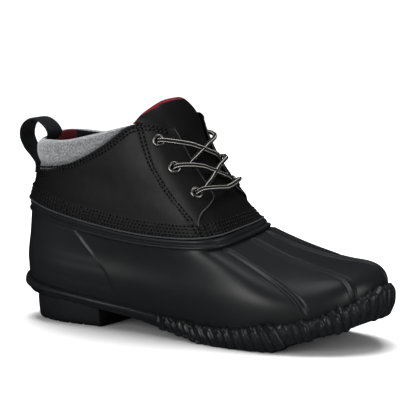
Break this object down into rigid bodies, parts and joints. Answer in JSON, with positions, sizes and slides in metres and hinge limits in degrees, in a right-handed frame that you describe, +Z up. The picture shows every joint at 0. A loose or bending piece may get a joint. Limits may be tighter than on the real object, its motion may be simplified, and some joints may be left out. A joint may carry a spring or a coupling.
{
  "type": "duck boot",
  "caption": "Ankle duck boot for the right foot: moulded rubber shell and heeled sole, laced leather upper, padded felt collar and a heel pull loop.",
  "frame": {"origin": "middle of the heel block's flat underside, on the floor", "axes": "+X to the toe, +Y to the inner side of the foot, +Z up"},
  "size_m": [0.283, 0.1011, 0.1576],
  "materials": {
    "rubber": "satin black moulded rubber",
    "leather": "smooth semi-gloss black leather",
    "felt": "heathered mid-grey wool felt",
    "fleece": "brushed dark red fleece",
    "webbing": "woven black strap",
    "cord": "round braided cord, black with light grey flecks",
    "metal": "darkened nickel plate"
  },
  "bodies": {
    "root": {"outsole": "rubber", "rubber_shell": "rubber", "upper": "leather", "tongue": "leather", "backstay": "leather", "collar_cuff": "felt", "insole": "fleece", "pull_loop": "webbing", "eyelet_1": "metal", "eyelet_2": "metal", "eyelet_3": "metal", "eyelet_4": "metal", "eyelet_5": "metal", "eyelet_6": "metal", "lace_bar": "cord", "lace_crossing_lower": "cord", "lace_crossing_upper": "cord"}
  },
  "joints": []
}
